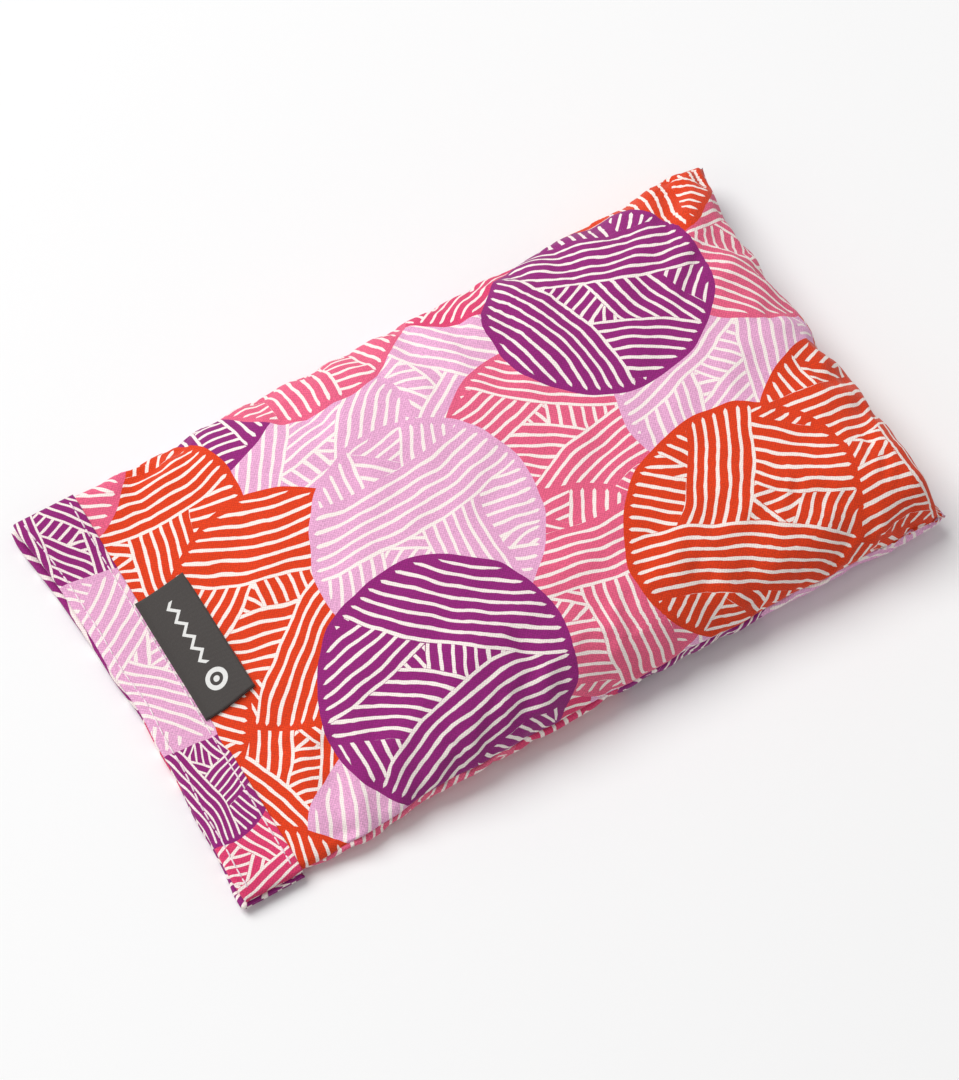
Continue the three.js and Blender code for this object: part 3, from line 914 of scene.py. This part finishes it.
def label():
    """A piece of tape from under the cuff, over the panel to its fold, and back."""
    y0, y1 = LABEL_LOW[1] - 0.6, LABEL_HIGH[1]
    rows, fold_rows, columns = 40, 7, 60
    y = np.linspace(y0, y1, columns)[None, :]
    near = (y1 - y) / (y1 - y0)
    lengths = np.linspace(-LABEL_TUCKED, LABEL_SHOWN, rows)[:, None]
    base_x = CUFF_X + lengths * 0.97
    panel_z = crown(np.maximum(base_x, CUFF_X)) + 0.6
    lift = (0.2 + 1.3 * near ** 2) * ramp((lengths - 3) / 10) + 0.12 * np.sin(y / 4) * ramp((lengths - 5) / 6)
    z = panel_z + lift
    lower = np.stack([np.broadcast_to(base_x, z.shape), np.broadcast_to(y, z.shape), z], -1)
    upper = lower + normals_of(lower) * (TAPE_GAP + TAPE)
    middle = (lower[-1] + upper[-1]) / 2
    out = lower[-1] - lower[-2]
    out = out / np.linalg.norm(out, axis=-1, keepdims=True)
    turn = np.linspace(-math.pi / 2, math.pi / 2, fold_rows + 2)[1:-1, None, None]
    up = (upper[-1] - lower[-1]) / 2
    folded = middle + np.sin(turn) * up + np.cos(turn) * out * (TAPE_GAP + TAPE) / 2
    grid = np.concatenate([lower, folded, upper[::-1]])
    from_cuff = np.concatenate([lengths[:, 0], np.full(fold_rows, LABEL_SHOWN + 0.3), lengths[::-1, 0]])
    uv = np.stack([from_cuff[:, None] + 0 * y, np.broadcast_to(y - (y0 + y1) / 2, grid.shape[:2])], -1)
    grid, uv = grid[:, ::-1], uv[:, ::-1]
    grid = grid + normals_of(grid) * TAPE / 2
    piece = cloth_shell("woven_label_tape", grid, TAPE, uv, LABEL_TAPE)
    return in_frame(piece, "label", "label_tape", "woven_label")


label()


# ---------------------------------------------------------------- the cover's seams
SEAM_ROW = 1.8  # from the seam's line


def side_row(name, edge_line, across):
    """Stitches along a side seam, where across is -1 for the near one and 1 for the far one."""
    def place(t):
        x = np.array(t + (CUFF_X + END_X) / 2)
        inward = -SEAM_ROW * across
        z = float(seam_height(x, np.array(float(across))))
        at = np.array([float(x), float(edge_line(x)) + inward, z])
        return at, np.array([0, 0, 1]), np.array([1, 0, 0]), np.array([0, 1, 0])

    return stitch_row(name, place, END_X - CUFF_X - 8, "cover", [name])


def end_row(name):
    def place(t):
        c = np.array(t / HALF_WIDTH)
        x = float(end_line(c)) - SEAM_ROW
        y = mix(float(near_line(x)), float(far_line(x)), (float(c) + 1) / 2)
        at = np.array([x, y, float(seam_height(x, c))])
        return at, np.array([0, 0, 1]), np.array([0, 1, 0]), np.array([1, 0, 0])

    return stitch_row(name, place, 2 * HALF_WIDTH - 8, "cover", [name])


side_row("near_side_seam_stitches", near_line, -1)
side_row("far_side_seam_stitches", far_line, 1)
end_row("end_seam_stitches")


# ---------------------------------------------------------------- inner pillow
BAG_DEPTH = 2.3  # under the cover's outer face
BAG_ROWS, BAG_COLUMNS = 51, 39  # of the face that the cloth simulation settles
MUSLIN_THICK = 0.35
SEED_ROWS, SEED_COLUMNS = 60, 46
SEED_INSET = 7.5
SEED_START = 18.0  # from the bag's end by the mouth
SEED_DEPTH = BAG_DEPTH + 1.7
SEED_SPREAD = 0.25  # half the seed's thickness at its rim


def inner_points(side, rows, columns, foot, depth, start):
    """A face of something closed that lies in the cover, foot inside its seam and depth under its cloth."""
    a = (1 - np.cos(math.pi * np.linspace(0, 1, rows)))[:, None] / 2
    c = np.sin(math.pi / 2 * np.linspace(-1, 1, columns))[None, :]
    inset = BAG_HIGH[1] - foot
    x = mix(start, BAG_HIGH[0] - foot - 1.2 * (1 - c * c), a)
    y = c * (inset - 0.8 * np.sin(math.pi * a))
    seam = mix(CUFF_MIDDLE_Z, SEAM_Z, ramp((x - CUFF_X) / SEAM_RISE))
    power = 3.4 if side > 0 else 7
    full = (crown(x) - seam if side > 0 else seam) - depth
    t_near = 1 - np.clip((x - start) / 14, 0, 1)
    t_end = 1 - np.clip((x[-1:] - x) / 22, 0, 1)
    height = np.maximum(full, 0) * rounding(np.abs(c), power) * rounding(t_near, 3) * rounding(t_end, 3)
    return np.stack([x, y, seam + side * height], -1)


def bag(side, name, coarse):
    """The front (side 1) or back (side -1) of the inner bag, from its settled face."""
    grid = double(double(coarse, 0), 1)
    uv = flat_coordinates(grid)
    x, y = grid[..., 0], grid[..., 1]
    edge = np.minimum(np.minimum(BAG_HIGH[1] - np.abs(y), x - BAG_LOW[0]), BAG_HIGH[0] - x)
    n = normals_of(grid) * side
    pucker = 0.3 * waves(x, y, 9, 21) * bump((edge - 3) / 4)
    amount = pucker + 0.15 * waves(x, y, 14, 22) * np.clip(edge / 8, 0, 1)
    grid = grid + n * (amount * np.clip(edge / 1.5, 0, 1))[..., None]
    grid[..., 2] += side * 0.2
    if side < 0:
        grid, uv = grid[:, ::-1], uv[:, ::-1]
    piece = cloth_shell(name + "_cloth", grid, MUSLIN_THICK, uv, MUSLIN)
    return in_frame(piece, "inner_pillow", "plain_muslin", name)


bag_faces = [inner_points(side, BAG_ROWS, BAG_COLUMNS, 0, BAG_DEPTH, BAG_LOW[0]) for side in (1, -1)]
upper, lower = settle(*bag_faces, False)
bag_front = bag(1, "inner_bag_front", upper)
bag_back = bag(-1, "inner_bag_back", lower)


def seeds():
    """The loose filling as one mass, its two faces joined by a narrow rim."""
    start = BAG_LOW[0] + SEED_START
    faces = [inner_points(side, SEED_ROWS, SEED_COLUMNS, SEED_INSET, SEED_DEPTH, start) for side in (1, -1)]
    count = SEED_ROWS * SEED_COLUMNS
    points = np.concatenate([face.reshape(-1, 3) for face in faces])
    points[:count, 2] += SEED_SPREAD
    points[count:, 2] -= SEED_SPREAD
    piece = make_object("seed_fill_seeds", points, shell_faces(SEED_ROWS, SEED_COLUMNS), None, FLAX)
    return in_frame(piece, "inner_pillow", "flax_seed", "seed_fill")


seeds()

# CAD nodes that stay, with their finish
for kept in ("inner_bag_seam_stitches", "inner_bag_closing_stitches"):
    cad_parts[kept].material_slots[0].material = THREAD


# ---------------------------------------------------------------- floor, light and camera
KEY_POWER = 72.0
FILL_POWER = 5.0
WORLD_STRENGTH = 0.36
FLOOR_HALF = 3.0
CAMERA_TURN, CAMERA_RISE = -30.4, 63.2  # degrees
CAMERA_AWAY = 1.15
CAMERA_TARGET = (-0.0039, -0.006, 0.010)
CAMERA_LENS = 156.0


def floor():
    mesh = bpy.data.meshes.new("floor")
    corners = [(x * FLOOR_HALF, y * FLOOR_HALF, 0) for x, y in ((-1, -1), (1, -1), (1, 1), (-1, 1))]
    mesh.from_pydata(corners, [], [(0, 1, 2, 3)])
    material, _, shader = new_material("floor", 0.9, specular=0.1)
    shader.inputs["Base Color"].default_value = (0.93, 0.93, 0.93, 1)
    mesh.materials.append(material)
    obj = bpy.data.objects.new("floor", mesh)
    bpy.context.scene.collection.objects.link(obj)


def area_light(name, at, size, power):
    """A round light that faces the part's origin."""
    data = bpy.data.lights.new(name, "AREA")
    data.shape = "DISK"
    data.size = size
    data.energy = power
    obj = bpy.data.objects.new(name, data)
    obj.location = at
    way = -np.array(at)
    turn_z = math.atan2(way[1], way[0]) - math.pi / 2
    turn_x = math.atan2(math.hypot(way[0], way[1]), -way[2])
    obj.rotation_euler = (turn_x, 0, turn_z)
    bpy.context.scene.collection.objects.link(obj)


def camera():
    """Azimuth 0 looks along +Y."""
    data = bpy.data.cameras.new("camera")
    data.lens = CAMERA_LENS
    data.clip_start = 0.01
    az, el = math.radians(CAMERA_TURN), math.radians(CAMERA_RISE)
    back_way = np.array([math.sin(az) * math.cos(el), -math.cos(az) * math.cos(el), math.sin(el)])
    obj = bpy.data.objects.new("camera", data)
    obj.location = np.array(CAMERA_TARGET) + back_way * CAMERA_AWAY
    obj.rotation_euler = (math.pi / 2 - el, 0, az)
    bpy.context.scene.collection.objects.link(obj)
    bpy.context.scene.camera = obj


floor()
area_light("key", (-0.8, 1.4, 2.4), 2.2, KEY_POWER)
area_light("fill", (-2.2, -0.6, 1.8), 2.0, FILL_POWER)
world = bpy.data.worlds.new("studio")
world.use_nodes = True
background = world.node_tree.nodes["Background"]
background.inputs["Color"].default_value = (1, 1, 1, 1)
background.inputs["Strength"].default_value = WORLD_STRENGTH
bpy.context.scene.world = world
bpy.context.scene.view_settings.view_transform = "Standard"
camera()
